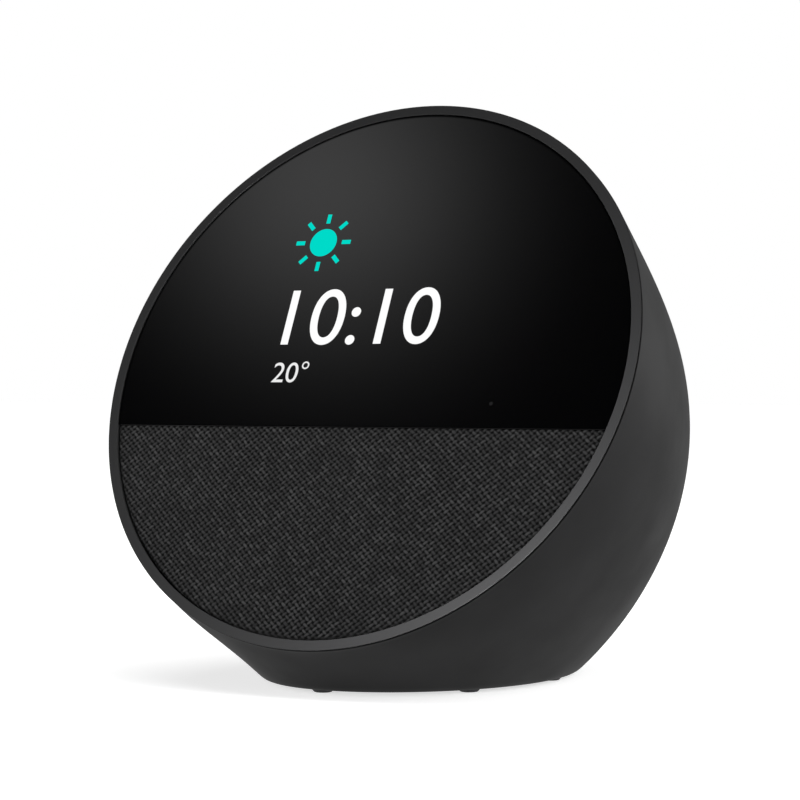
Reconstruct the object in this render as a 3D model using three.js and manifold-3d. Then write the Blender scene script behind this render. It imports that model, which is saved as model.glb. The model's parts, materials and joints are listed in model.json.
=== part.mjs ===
// A small round-faced smart display: a tilted disc with a touch display above and a fabric speaker
// grille below, in a shell that tapers back and down to an oval base. Millimetres, +Z up, the face
// looks along -Y and leans back. The origin is on the surface that it stands on, under the middle
// of its box.
import * as THREE from "three";
import { mergeVertices } from "three/addons/utils/BufferGeometryUtils.js";
import Module from "manifold-3d";

const wasm = await Module();
wasm.setup();

// ---- driving dimensions ----
const GAP = 0.3; // clearance between neighbouring pieces
const TILT = THREE.MathUtils.degToRad(25); // lean of the face, back from upright
const FACE_CENTRE = new THREE.Vector3(0, -27.55, 60.2);
const RING_RADIUS = 56.5; // outside of the trim ring: 113 mm wide
const RING_INNER = 54.4;
const RING_EDGE = 0.15; // height of the ring's thin outer edge
const RING_FLANGE = 0.95; // depth of the ring's flange where it meets the skirt
const SEAM = 1.2; // the shell's sweep starts this far behind the face plane
const RIM_TOP = 0.5; // and its rim stands up to here, under the ring's edge
const SKIRT_DEPTH = 2.8; // the ring's skirt reaches this far into the shell
const BASE_Z = 0.6; // the shell's lower edge, lifted by the feet
const WALL = 2.4;
const DIVIDE = -12.8; // height on the face of the line between glass and fabric

// The shell is swept by a plane that turns about a hinge line, from the face down to the base.
// Each row of values runs from the face (first) to the base (last), blended as Bernstein curves.
const HINGE_DISTANCE = (FACE_CENTRE.z - SEAM * Math.sin(TILT) - BASE_Z) / Math.cos(TILT);
const HALF_WIDTHS = [RING_RADIUS, RING_RADIUS, 54.8, 43.4, 28.5];
const REAR_REACH = [HINGE_DISTANCE + RING_RADIUS, 113.0, 126.0, 118.1, 85.4];
const FRONT_REACH = [HINGE_DISTANCE - RING_RADIUS, 8.3, 8.6, 12.8];

const GLASS_RADIUS = RING_INNER - GAP;
const GLASS_FRONT = -0.3;
const GLASS_THICKNESS = 1.8;
const FABRIC_FRONT = -0.4;
const FABRIC_THICKNESS = 0.5;
const CARRIER_RADIUS = 52.8;
const CARRIER_FRONT = -2.4;
const CARRIER_THICKNESS = 2;
const CARRIER_BACK = CARRIER_FRONT - CARRIER_THICKNESS;

const DISPLAY_WIDTH = 62; // the module around a 57.6 x 43.1 active area
const DISPLAY_HEIGHT = 47;
const DISPLAY_CENTRE = 16; // above the middle of the face
const SENSOR_AT = [28.9, -7.3];

const DRIVER_CENTRE = -31; // below the middle of the face
const DRIVER_RADIUS = 22; // a 44 mm driver
const CONE_RADIUS = 16.4;
const COIL_RADIUS = 6.3;

const BOARD_FRONT = -12;
const BOARD_THICKNESS = 1.2;
const BOARD_HALF_WIDTH = 35.4;
const BOARD_BOTTOM = -6;
const BOARD_TOP = 28;

const KEY_STATION = 0.19; // where the keys sit, from the face (0) to the base (1)
const KEY_PITCH = 15;
const KEY_LENGTH = 10;
const KEY_WIDTH = 6.5;
const KEY_PROUD = 0.7;

const INLET_Z = 17;
const INLET_RADIUS = 5; // the pocket that a plug's body enters
const INLET_FLOOR_Y = 38; // the pocket's floor
const INLET_FLOOR = 1; // and its thickness
const JACK_FACE_Y = INLET_FLOOR_Y - INLET_FLOOR - GAP;
const PLUG_BORE = 1.75; // for a 3.5 mm barrel

const BASE_CENTRE_Y = -4.95;
const BASE_HALF_WIDTH = HALF_WIDTHS[4];
const BASE_HALF_DEPTH = (REAR_REACH[4] - FRONT_REACH[3]) / 2;
const FOOT_COUNT = 7;

const SCREW_RADIUS = 0.8;
const PILOT_RADIUS = 1.1;
const HEAD_RADIUS = 1.7;
const HEAD_HEIGHT = 1;

// ---- looks ----
const look = (color, roughness, metalness = 0) => ({ color, roughness, metalness });
const SHELL_LOOK = look(0x17181a, 0.55);
const RING_LOOK = look(0x242527, 0.5);
const GLASS_LOOK = look(0x050506, 0.08);
const FABRIC_LOOK = look(0x1c1d1f, 0.95);
const INNER_PLASTIC = look(0x202124, 0.6);
const BOARD_LOOK = look(0x0f3d26, 0.5);
const CHIP_LOOK = look(0x101112, 0.45);
const STEEL_LOOK = look(0xa9acb0, 0.35, 1);
const ALUMINIUM_LOOK = look(0xb9bcc0, 0.4, 1);
const COPPER_LOOK = look(0xb06a3a, 0.35, 1);
const MAGNET_LOOK = look(0x2b2b2d, 0.6);
const PAPER_LOOK = look(0x18181a, 0.9);
const RUBBER_LOOK = look(0x101011, 0.85);
const FLEX_LOOK = look(0xa0601c, 0.5);
const DIFFUSER_LOOK = look(0xe6e8ea, 0.3);

// ---- solids ----
const product = new THREE.Group();
const face = new THREE.Group(); // x across, y up the face, z out of it
face.position.copy(FACE_CENTRE);
face.rotation.x = Math.PI / 2 - TILT;
face.updateMatrixWorld(true);
product.add(face);

// Only positions, with shared corners merged and the faces pointing out.
function closed(geometry) {
  const bare = new THREE.BufferGeometry();
  bare.setAttribute("position", geometry.getAttribute("position").clone());
  if (geometry.index) bare.setIndex(geometry.index.clone());
  const merged = mergeVertices(bare, 1e-4);
  const corner = [0, 1, 2].map(() => new THREE.Vector3());
  const index = merged.index.array;
  let volume = 0;
  for (let i = 0; i < index.length; i += 3) {
    corner.forEach((point, k) => point.fromBufferAttribute(merged.attributes.position, index[i + k]));
    volume += corner[0].dot(corner[1].clone().cross(corner[2]));
  }
  if (volume < 0) index.reverse();
  return merged;
}

function solid(geometry, matrix = new THREE.Matrix4()) {
  const mesh = closed(geometry).applyMatrix4(matrix);
  return new wasm.Manifold(
    new wasm.Mesh({
      numProp: 3,
      vertProperties: new Float32Array(mesh.attributes.position.array),
      triVerts: new Uint32Array(mesh.index.array),
    }),
  );
}

const joined = (first, ...rest) => rest.reduce((whole, piece) => whole.add(piece), first);
const cut = (first, ...rest) => rest.reduce((whole, piece) => whole.subtract(piece), first);

function geometryOf(manifold) {
  const mesh = manifold.getMesh();
  const geometry = new THREE.BufferGeometry();
  geometry.setAttribute("position", new THREE.BufferAttribute(new Float32Array(mesh.vertProperties), 3));
  geometry.setIndex(new THREE.BufferAttribute(new Uint32Array(mesh.triVerts), 1));
  return geometry;
}

function add(name, shape, { color, roughness, metalness }, parent = face) {
  const geometry = shape.isBufferGeometry ? closed(shape) : geometryOf(shape);
  geometry.computeVertexNormals();
  const mesh = new THREE.Mesh(geometry, new THREE.MeshStandardMaterial({ color, roughness, metalness }));
  mesh.name = name;
  parent.add(mesh);
  return mesh;
}

// ---- outlines and primitive shapes, all with their height along z ----
function arc(radius, from = 0, to = 2 * Math.PI, count = 32, x = 0, y = 0, radiusY = radius) {
  const whole = Math.abs(to - from - 2 * Math.PI) < 1e-9;
  return Array.from({ length: whole ? count : count + 1 }, (_, i) => {
    const angle = from + ((to - from) * i) / count;
    return new THREE.Vector2(x + radius * Math.cos(angle), y + radiusY * Math.sin(angle));
  });
}

function rectangle(width, height, x = 0, y = 0) {
  return [[-1, -1], [1, -1], [1, 1], [-1, 1]].map(
    ([i, j]) => new THREE.Vector2(x + (i * width) / 2, y + (j * height) / 2),
  );
}

function stadium(length, width, x = 0, y = 0, count = 8) {
  const straight = (length - width) / 2;
  return [
    ...arc(width / 2, -Math.PI / 2, Math.PI / 2, count, x + straight, y),
    ...arc(width / 2, Math.PI / 2, 1.5 * Math.PI, count, x - straight, y),
  ];
}

function prism(outline, bottom, top, holes = []) {
  const shape = new THREE.Shape(outline);
  shape.holes = holes.map((points) => new THREE.Path(points));
  const geometry = new THREE.ExtrudeGeometry(shape, { depth: top - bottom, bevelEnabled: false });
  return geometry.translate(0, 0, bottom);
}

const tube = (outer, inner, bottom, top, count = 32, x = 0, y = 0) =>
  prism(arc(outer, 0, 2 * Math.PI, count, x, y), bottom, top, [arc(inner, 0, 2 * Math.PI, count, x, y)]);
const rod = (radius, bottom, top, x = 0, y = 0, count = 12) =>
  prism(arc(radius, 0, 2 * Math.PI, count, x, y), bottom, top);
const block = (width, height, bottom, top, x = 0, y = 0) => prism(rectangle(width, height, x, y), bottom, top);

// A body of revolution about z; its profile is a closed loop of [radius, height] corners.
function turned(profile, count = 32, x = 0, y = 0) {
  const loop = [...profile, profile[0]].map(([radius, height]) => new THREE.Vector2(radius, height));
  return new THREE.LatheGeometry(loop, count).rotateX(Math.PI / 2).translate(x, y, 0);
}

// A pan-head screw: its head's top is at height `top` and its shank points towards `direction`.
function screw(top, length, direction, x, y) {
  const at = (depth) => top + direction * depth;
  const profile = [
    [0, at(0)], [HEAD_RADIUS, at(0)], [HEAD_RADIUS, at(HEAD_HEIGHT)],
    [SCREW_RADIUS, at(HEAD_HEIGHT)], [SCREW_RADIUS, at(length)], [0, at(length)],
  ].map(([radius, height]) => new THREE.Vector2(radius, height));
  return new THREE.LatheGeometry(profile, 8).rotateX(Math.PI / 2).translate(x, y, 0);
}

// A round wire along a smooth curve through the given points.
function wire(points, radius) {
  const path = new THREE.CatmullRomCurve3(points.map((point) => new THREE.Vector3(...point)));
  const section = new THREE.Shape(arc(radius, 0, 2 * Math.PI, 8));
  return new THREE.ExtrudeGeometry(section, { steps: 20, extrudePath: path });
}

// ---- the shell's outer surface ----
const hinge = new THREE.Vector3(0, -HINGE_DISTANCE, -SEAM).applyMatrix4(face.matrixWorld);

function bernstein(values, s) {
  let row = values;
  while (row.length > 1) row = row.slice(1).map((next, i) => row[i] * (1 - s) + next * s);
  return row[0];
}

// s runs from the face (0) to the base (1), phi goes round, and grow moves the surface outwards.
function shellPoint(s, phi, grow = 0) {
  const swing = (Math.PI / 2 - TILT) * (1 - s);
  const far = bernstein(REAR_REACH, s) + grow;
  const near = bernstein(FRONT_REACH, s) - grow;
  const reach = (far + near) / 2 + ((far - near) / 2) * Math.sin(phi);
  const across = (bernstein(HALF_WIDTHS, s) + grow) * Math.cos(phi);
  return new THREE.Vector3(across, hinge.y + reach * Math.cos(swing), hinge.z + reach * Math.sin(swing));
}

function shellBody(grow, rows, columns) {
  const points = [];
  const triangles = [];
  for (let i = 0; i <= rows; i++) {
    for (let j = 0; j < columns; j++) points.push(...shellPoint(i / rows, (2 * Math.PI * j) / columns, grow));
  }
  const middle = (s) => shellPoint(s, Math.PI / 2, grow).add(shellPoint(s, -Math.PI / 2, grow)).divideScalar(2);
  const firstMiddle = points.length / 3;
  points.push(...middle(0), ...middle(1));
  for (let j = 0; j < columns; j++) {
    const next = (j + 1) % columns;
    for (let i = 0; i < rows; i++) {
      const [a, b] = [i * columns + j, i * columns + next];
      triangles.push(a, a + columns, b, b, a + columns, b + columns);
    }
    triangles.push(firstMiddle, j, next, firstMiddle + 1, rows * columns + next, rows * columns + j);
  }
  const geometry = new THREE.BufferGeometry();
  geometry.setAttribute("position", new THREE.Float32BufferAttribute(points, 3));
  geometry.setIndex(triangles);
  return geometry;
}

const onFace = (geometry) => solid(geometry, face.matrixWorld);
const outerBody = solid(shellBody(0, 12, 48));
const innerBody = cut(
  solid(shellBody(-WALL, 10, 36)),
  onFace(block(200, 200, -3.3, 60)),
  solid(block(200, 200, -20, BASE_Z + 4.4)),
);

// ---- the keys' own frame: x across, z out of the shell, y the rest ----
const keys = new THREE.Group();
const keyOrigin = shellPoint(KEY_STATION, Math.PI / 2);
const keySlope = shellPoint(KEY_STATION + 0.01, Math.PI / 2).sub(shellPoint(KEY_STATION - 0.01, Math.PI / 2));
keys.position.copy(keyOrigin);
keys.rotation.x = Math.atan2(keySlope.z, keySlope.y);
keys.updateMatrixWorld(true);
product.add(keys);
const onKeys = (geometry) => solid(geometry, keys.matrixWorld);

const KEY_NAMES = ["volume_down", "mute", "volume_up"];
const KEY_PLACES = [-KEY_PITCH, 0, KEY_PITCH];
const MICROPHONE_PLACES = [-KEY_PITCH / 2, KEY_PITCH / 2];
const BRACKET_SCREWS = [-24, 24];
const KEY_BOARD_TOP = -11;
const SWITCH_TOP = KEY_BOARD_TOP + 1.9;

// ---- the shell: wall, rim, base lip, screw posts, inlet collar and holes ----
const POST_ANGLES = [40, 140, 215, 325].map(THREE.MathUtils.degToRad);
const POST_CIRCLE = 48.5;
const POST_END = -16;
const posts = POST_ANGLES.map((angle) => {
  const [x, y] = [POST_CIRCLE * Math.cos(angle), POST_CIRCLE * Math.sin(angle)];
  return { x, y, angle };
});
const baseEllipse = (inset, count = 36) =>
  arc(BASE_HALF_WIDTH - inset, 0, 2 * Math.PI, count, 0, BASE_CENTRE_Y, BASE_HALF_DEPTH - inset);
const BASE_SCREW_INSET = 8.4;
const baseScrews = [90, 210, 330].map((degrees) => {
  const angle = THREE.MathUtils.degToRad(degrees);
  return [
    (BASE_HALF_WIDTH - BASE_SCREW_INSET) * Math.cos(angle),
    BASE_CENTRE_Y + (BASE_HALF_DEPTH - BASE_SCREW_INSET) * Math.sin(angle),
  ];
});
const inletMatrix = new THREE.Matrix4()
  .makeTranslation(0, 0, INLET_Z)
  .multiply(new THREE.Matrix4().makeRotationX(-Math.PI / 2));
const onInlet = (geometry) => solid(geometry, inletMatrix);

function makeShell() {
  const wall = cut(
    outerBody,
    innerBody,
    onFace(rod(RING_RADIUS - 1.2, -3.7, 20, 0, 0, 48)),
    solid(prism(baseEllipse(1.2), -5, BASE_Z + 3.2)),
    solid(prism(baseEllipse(11.6), -5, 20)),
  );
  // The rim's top slopes inwards in parallel with the ring's underside.
  const rim = onFace(turned([
    [RING_RADIUS - 1.2, -2.6], [RING_RADIUS - 0.6, -2.6], [RING_RADIUS, -SEAM], [RING_RADIUS, -RIM_TOP],
    [RING_RADIUS - 1.2, -RIM_TOP - 0.6],
  ], 48));
  const extras = [];
  const bores = [];
  for (const { x, y, angle } of posts) {
    const rib = block(14, 1.8, POST_END, CARRIER_BACK - 0.8).translate(POST_CIRCLE + 7, 0, 0).rotateZ(angle);
    extras.push(onFace(rod(2.8, POST_END, CARRIER_BACK - GAP, x, y)), onFace(rib));
    bores.push(onFace(rod(PILOT_RADIUS, POST_END + 1.5, 0, x, y, 10)));
  }
  for (const [x, y] of baseScrews) {
    extras.push(solid(rod(2.8, BASE_Z + 3.2, BASE_Z + 8, x, y)));
    bores.push(solid(rod(PILOT_RADIUS, -1, BASE_Z + 7, x, y, 10)));
  }
  for (const x of BRACKET_SCREWS) {
    extras.push(onKeys(rod(2.4, KEY_BOARD_TOP - 1.2, 6, x, 0)));
    bores.push(onKeys(rod(PILOT_RADIUS, KEY_BOARD_TOP - 2, -8.5, x, 0, 10)));
  }
  extras.push(onInlet(rod(INLET_RADIUS + 1.6, INLET_FLOOR_Y - INLET_FLOOR, 60, 0, 0, 28)));
  bores.push(onInlet(rod(INLET_RADIUS, INLET_FLOOR_Y, 70, 0, 0, 28)));
  bores.push(onInlet(rod(PLUG_BORE + 0.1, 30, 70, 0, 0, 16)));
  for (const x of KEY_PLACES) {
    bores.push(onKeys(prism(stadium(KEY_LENGTH + 2 * GAP, KEY_WIDTH + 2 * GAP, x, 0), -8, 8)));
  }
  for (const x of MICROPHONE_PLACES) bores.push(onKeys(rod(0.6, -8, 8, x, 0, 10)));
  const inside = joined(...extras).intersect(outerBody);
  return cut(joined(wall, inside, rim), ...bores);
}
add("rear_shell", makeShell(), SHELL_LOOK, product);

// ---- front: ring, glass, fabric, grille and carrier ----
const ringProfile = [
  [RING_RADIUS, -RING_EDGE], [RING_RADIUS - 0.08, 0], [RING_INNER + 0.2, 0],
  [RING_INNER, -0.2], [RING_INNER, -SKIRT_DEPTH], [RING_INNER + 0.5, -SKIRT_DEPTH],
  [RING_INNER + 0.5, -RING_FLANGE],
];
add("front_ring", turned(ringProfile, 64), RING_LOOK);

// The part of a disc above or below the dividing line, set back from it by `margin`.
function segmentOutline(radius, above, margin, count = 44) {
  const edge = Math.asin((DIVIDE + (above ? margin : -margin)) / radius);
  return above ? arc(radius, edge, Math.PI - edge, count) : arc(radius, Math.PI - edge, 2 * Math.PI + edge, count);
}
const glassBack = GLASS_FRONT - GLASS_THICKNESS;
add("cover_glass", prism(segmentOutline(GLASS_RADIUS, true, 0.15), glassBack, GLASS_FRONT), GLASS_LOOK);
add(
  "speaker_fabric",
  prism(segmentOutline(GLASS_RADIUS, false, 0.15), FABRIC_FRONT - FABRIC_THICKNESS, FABRIC_FRONT),
  FABRIC_LOOK,
);

// The grille under the fabric, with sound holes in rows over the driver.
const HOLE_PITCH = 5.8;
const soundHoles = [];
for (let row = -3; row <= 3; row++) {
  for (let column = -3; column <= 3; column++) {
    const x = HOLE_PITCH * (column + (row % 2 ? 0.5 : 0));
    const y = row * HOLE_PITCH * Math.sin(Math.PI / 3);
    const low = DRIVER_CENTRE + y < DIVIDE - 4;
    if (Math.hypot(x, y) < CONE_RADIUS + 1 && low) {
      soundHoles.push(arc(2.1, 0, 2 * Math.PI, 8, x, DRIVER_CENTRE + y));
    }
  }
}
const grilleOutline = segmentOutline(GLASS_RADIUS - 0.2, false, 0.3);
add("speaker_grille", prism(grilleOutline, glassBack, FABRIC_FRONT - FABRIC_THICKNESS - GAP, soundHoles), INNER_PLASTIC);

const DRIVER_SCREW_CIRCLE = 26;
const driverScrews = [-22, 22, 158, 202].map((degrees) => {
  const angle = THREE.MathUtils.degToRad(degrees);
  return [DRIVER_SCREW_CIRCLE * Math.cos(angle), DRIVER_CENTRE + DRIVER_SCREW_CIRCLE * Math.sin(angle)];
});
const BOARD_SCREW_X = 33.2;
const boardScrews = [[-BOARD_SCREW_X, -3.4], [BOARD_SCREW_X, 24.6]];
const GASKET_BACK = CARRIER_BACK - 1;

function makeCarrier() {
  const window = rectangle(DISPLAY_WIDTH + 2 * GAP, DISPLAY_HEIGHT + 2 * GAP, 0, DISPLAY_CENTRE);
  const opening = arc(CONE_RADIUS + 3, 0, 2 * Math.PI, 40, 0, DRIVER_CENTRE);
  const sensorWindow = rectangle(4, 4, ...SENSOR_AT.map((value, i) => value - (i ? 3.6 : -5)));
  const disc = prism(arc(CARRIER_RADIUS, 0, 2 * Math.PI, 48), CARRIER_BACK, CARRIER_FRONT, [
    window, opening, sensorWindow,
  ]);
  const bores = [];
  let body = solid(disc);
  for (const { x, y } of posts) {
    bores.push(solid(rod(PILOT_RADIUS, CARRIER_BACK - 1, 0, x, y, 10)));
    bores.push(solid(rod(HEAD_RADIUS + GAP, CARRIER_FRONT - HEAD_HEIGHT - GAP - 0.1, 0, x, y, 12)));
  }
  for (const [x, y] of driverScrews) {
    body = body.add(solid(rod(2.4, GASKET_BACK, CARRIER_FRONT - 0.5, x, y)));
    bores.push(solid(rod(PILOT_RADIUS, GASKET_BACK - 1, CARRIER_FRONT - 0.7, x, y, 10)));
  }
  for (const [x, y] of boardScrews) {
    body = body.add(solid(rod(1.9, BOARD_FRONT + GAP, CARRIER_FRONT - 0.5, x, y)));
    bores.push(solid(rod(PILOT_RADIUS, BOARD_FRONT - 1, CARRIER_BACK - 0.4, x, y, 10)));
  }
  return cut(body, ...bores);
}
add("front_carrier", makeCarrier(), INNER_PLASTIC);
posts.forEach(({ x, y }, i) => {
  add(`carrier_screw_${i + 1}`, screw(CARRIER_FRONT - 0.1, 10, -1, x, y), STEEL_LOOK);
});

// ---- display module ----
const displayBlock = (margin, bottom, top) =>
  block(DISPLAY_WIDTH - 2 * margin, DISPLAY_HEIGHT - 2 * margin, bottom, top, 0, DISPLAY_CENTRE);
add("display_panel", displayBlock(0, -3.6, CARRIER_FRONT), GLASS_LOOK);
add("light_guide", displayBlock(0.8, -4.8, -3.9), DIFFUSER_LOOK);
add("backlight_tray", cut(solid(displayBlock(0, -5.6, -3.9)), solid(displayBlock(0.5, -5.1, 0))), STEEL_LOOK);

// The flat cable leaves the tray, turns back and ends on the main board.
const flexLoop = [[-5.9, 6], [-5.9, -1.5], [-7.4, -3.2], [-10.2, -3.2], [-11.7, -1.5], [-11.7, 2]];
const flexProfile = [
  ...flexLoop.map(([z, y]) => new THREE.Vector2(z, y)),
  ...flexLoop.map(([z, y]) => new THREE.Vector2(z + (z < -8 ? 0.25 : -0.25), y + (y < -3 ? 0.25 : 0))).reverse(),
];
const FLEX_WIDTH = 14;
const flexTurn = new THREE.Matrix4().makeBasis(
  new THREE.Vector3(0, 0, 1), new THREE.Vector3(0, 1, 0), new THREE.Vector3(-1, 0, 0),
);
add("display_cable", prism(flexProfile, -FLEX_WIDTH / 2, FLEX_WIDTH / 2).applyMatrix4(flexTurn), FLEX_LOOK);
add("light_sensor", block(2, 1.6, glassBack - GAP - 0.2 - 1, glassBack - GAP - 0.2, 33.9, -10.9), CHIP_LOOK);

// ---- speaker driver, from front to back ----
const atDriver = (profile, count = 32) => turned(profile, count, 0, DRIVER_CENTRE);
add("speaker_gasket", tube(21.9, 20, GASKET_BACK + 0.1, CARRIER_BACK - GAP, 32, 0, DRIVER_CENTRE), RUBBER_LOOK);
const FLANGE_TOP = GASKET_BACK - GAP;
const FLANGE_BACK = FLANGE_TOP - 1;
const BASKET_BACK = -15.4;

function screwEars(body, bottom, top) {
  const ears = driverScrews.map(([x, y]) => solid(rod(2.6, bottom, top, x, y, 12)));
  const arms = driverScrews.map(([x, y]) => solid(block(7, 4.4, bottom, top, x - 3.2 * Math.sign(x), y)));
  const bores = driverScrews.map(([x, y]) => solid(rod(PILOT_RADIUS, bottom - 1, top + 1, x, y, 10)));
  return cut(joined(body, ...ears, ...arms), ...bores);
}

function makeBasket() {
  const frame = solid(atDriver([
    [DRIVER_RADIUS, FLANGE_TOP], [DRIVER_RADIUS, FLANGE_BACK], [18.6, FLANGE_BACK], [12.6, BASKET_BACK + 1.5],
    [12.6, BASKET_BACK], [8.6, BASKET_BACK], [8.6, BASKET_BACK + 0.8], [11.8, BASKET_BACK + 0.8],
    [11.8, BASKET_BACK + 1.6], [17.6, FLANGE_BACK + 0.2], [19.9, FLANGE_BACK + 0.4], [19.9, FLANGE_TOP],
  ], 28));
  const inner = solid(rod(19.9, FLANGE_BACK - 3, FLANGE_TOP + 1, 0, DRIVER_CENTRE, 28));
  const windows = [45, 135, 225, 315].map((degrees) => {
    const cutter = block(9, 9, BASKET_BACK + 1.8, FLANGE_BACK - 0.6).translate(15.5, 0, 0);
    return solid(cutter.rotateZ(THREE.MathUtils.degToRad(degrees)).translate(0, DRIVER_CENTRE, 0));
  });
  return screwEars(frame, FLANGE_BACK, FLANGE_TOP).subtract(inner.subtract(frame)).subtract(joined(...windows));
}
add("speaker_basket", makeBasket(), INNER_PLASTIC);

const ROLL_FOOT = FLANGE_TOP - 0.1;
const rollProfile = [];
const ROLL_STEPS = 4;
for (const [radius, order] of [[1.5, 1], [1.15, -1]]) {
  const steps = Array.from({ length: ROLL_STEPS + 1 }, (_, i) => (order > 0 ? i : ROLL_STEPS - i));
  for (const step of steps) {
    const angle = (Math.PI * step) / ROLL_STEPS;
    rollProfile.push([18.1 - radius * Math.cos(angle), ROLL_FOOT + radius * Math.sin(angle)]);
  }
}
add("speaker_surround", atDriver(rollProfile, 24), RUBBER_LOOK);
add("speaker_cone", atDriver([
  [CONE_RADIUS - 0.1, -5.6], [COIL_RADIUS + 0.5, -11.2], [COIL_RADIUS + 0.5, -11.8], [CONE_RADIUS - 0.1, -6.1],
], 24), PAPER_LOOK);
const capProfile = [[0, -7.6], [3, -7.9], [5.6, -8.9], [7.6, -10.15], [7.6, -9.6], [5.8, -8.4], [3, -7.3], [0, -7]];
add(
  "speaker_dust_cap",
  new THREE.LatheGeometry(capProfile.map(([radius, height]) => new THREE.Vector2(radius, height)), 28)
    .rotateX(Math.PI / 2).translate(0, DRIVER_CENTRE, 0),
  PAPER_LOOK,
);
add("speaker_voice_coil", tube(COIL_RADIUS, COIL_RADIUS - 0.5, -18.2, -10.4, 28, 0, DRIVER_CENTRE), COPPER_LOOK);
add("speaker_spider", atDriver([
  [COIL_RADIUS + 0.3, -13.3], [8.2, -12.9], [9.8, -13.3], [11.4, -12.9], [11.4, -12.6], [9.8, -13], [8.2, -12.6],
  [COIL_RADIUS + 0.3, -13],
], 28), FABRIC_LOOK);
add("speaker_top_plate", tube(12.4, COIL_RADIUS + 0.4, BASKET_BACK - GAP - 1.5, BASKET_BACK - GAP, 32, 0, DRIVER_CENTRE), STEEL_LOOK);
add("speaker_magnet", tube(13.2, 8, -21.2, -17.5, 32, 0, DRIVER_CENTRE), MAGNET_LOOK);
add("speaker_yoke", atDriver([
  [0, -23.2], [12.6, -23.2], [12.6, -21.5], [COIL_RADIUS - 0.9, -21.5], [COIL_RADIUS - 0.9, -15.6], [0, -15.6],
], 32), STEEL_LOOK);

// ---- speaker enclosure: a round cup behind the driver that stays inside the shell ----
function makeEnclosure() {
  const cup = (radius, bottom, top, grow, floor) =>
    cut(
      onFace(rod(radius, bottom, top, 0, DRIVER_CENTRE, 32)).intersect(solid(shellBody(grow, 12, 40))),
      solid(block(200, 200, -20, floor)),
    );
  const outer = cup(24, -38, FLANGE_BACK - GAP, -WALL - 1, BASE_Z + 8.6);
  const inner = cup(22.3, -36.2, 5, -WALL - 2.8, BASE_Z + 9.9);
  const toFace = new THREE.Matrix4().copy(face.matrixWorld).invert();
  const local = solid(geometryOf(outer), toFace).subtract(solid(geometryOf(inner), toFace));
  const bore = solid(rod(22.3, -9.5, 5, 0, DRIVER_CENTRE, 32));
  return screwEars(local, FLANGE_BACK - GAP - 1.5, FLANGE_BACK - GAP).subtract(bore);
}
add("speaker_enclosure", makeEnclosure(), INNER_PLASTIC);
driverScrews.forEach(([x, y], i) => {
  add(`speaker_screw_${i + 1}`, screw(FLANGE_BACK - GAP - 1.5 - GAP - HEAD_HEIGHT, 6, 1, x, y), STEEL_LOOK);
});

// ---- electronics behind the display ----
const BOARD_BACK = BOARD_FRONT - BOARD_THICKNESS;
const boardMiddle = (BOARD_BOTTOM + BOARD_TOP) / 2;
const boardOutline = rectangle(2 * BOARD_HALF_WIDTH, BOARD_TOP - BOARD_BOTTOM, 0, boardMiddle);
const boardHoles = boardScrews.map(([x, y]) => arc(PILOT_RADIUS, 0, 2 * Math.PI, 10, x, y));
add("main_board", prism(boardOutline, BOARD_BACK, BOARD_FRONT, boardHoles), BOARD_LOOK);
boardScrews.forEach(([x, y], i) => {
  add(`board_screw_${i + 1}`, screw(BOARD_BACK - GAP - HEAD_HEIGHT, 7, 1, x, y), STEEL_LOOK);
});
add("processor_shield", block(26, 22, BOARD_BACK - GAP - 2, BOARD_BACK - GAP, -6, 12), STEEL_LOOK);
const sinkTop = BOARD_BACK - 2 * GAP - 2;
const sinkFins = [-2, -1, 0, 1, 2].map((i) => solid(block(1.4, 26, sinkTop - 5, sinkTop - 1.4, -6 + i * 7, 12)));
add("heat_sink", joined(solid(block(32, 26, sinkTop - 1.5, sinkTop, -6, 12)), ...sinkFins), ALUMINIUM_LOOK);
for (const [name, side] of [["antenna_left", -1], ["antenna_right", 1]]) {
  add(name, block(7, 18, CARRIER_BACK - GAP - 0.8, CARRIER_BACK - GAP, side * 42, 8), BOARD_LOOK);
}

// ---- keys, switches and microphones ----
const flangeDrop = (x) => RING_RADIUS - Math.sqrt(RING_RADIUS ** 2 - (Math.abs(x) + KEY_LENGTH / 2 + 1) ** 2);
const keyToWorld = keys.matrixWorld;
const worldToKey = keyToWorld.clone().invert();
const proudBody = solid(shellBody(KEY_PROUD, 28, 112), worldToKey);
KEY_PLACES.forEach((x, i) => {
  const flangeTop = -(flangeDrop(x) + WALL + 0.7);
  const cap = solid(prism(stadium(KEY_LENGTH, KEY_WIDTH, x, 0), flangeTop - 0.5, 6)).intersect(proudBody);
  const flange = solid(prism(stadium(KEY_LENGTH + 1.4, KEY_WIDTH + 1.6, x, 0), flangeTop - 0.8, flangeTop));
  const stem = solid(rod(1.3, SWITCH_TOP + 0.9, flangeTop - 0.4, x, 0));
  add(`${KEY_NAMES[i]}_button`, joined(cap, flange, stem), SHELL_LOOK, keys);
  add(`${KEY_NAMES[i]}_plunger`, rod(1, SWITCH_TOP - 0.8, SWITCH_TOP + 0.6, x, 0), INNER_PLASTIC, keys);
  const well = solid(rod(1.3, SWITCH_TOP - 1.3, SWITCH_TOP + 1, x, 0));
  const housing = solid(block(4.4, 4.4, KEY_BOARD_TOP + GAP, SWITCH_TOP, x, 0));
  add(`${KEY_NAMES[i]}_switch`, cut(housing, well), STEEL_LOOK, keys);
});
MICROPHONE_PLACES.forEach((x, i) => {
  const side = i ? "right" : "left";
  add(`microphone_${side}`, block(3.2, 2.6, KEY_BOARD_TOP + GAP, KEY_BOARD_TOP + GAP + 1, x, 0), STEEL_LOOK, keys);
});
add("button_board", block(42, 12, KEY_BOARD_TOP - 1.2, KEY_BOARD_TOP), BOARD_LOOK, keys);
const bracketTop = KEY_BOARD_TOP - 1.2 - GAP;
const bracketHoles = BRACKET_SCREWS.map((x) => arc(PILOT_RADIUS, 0, 2 * Math.PI, 10, x, 0));
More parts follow.
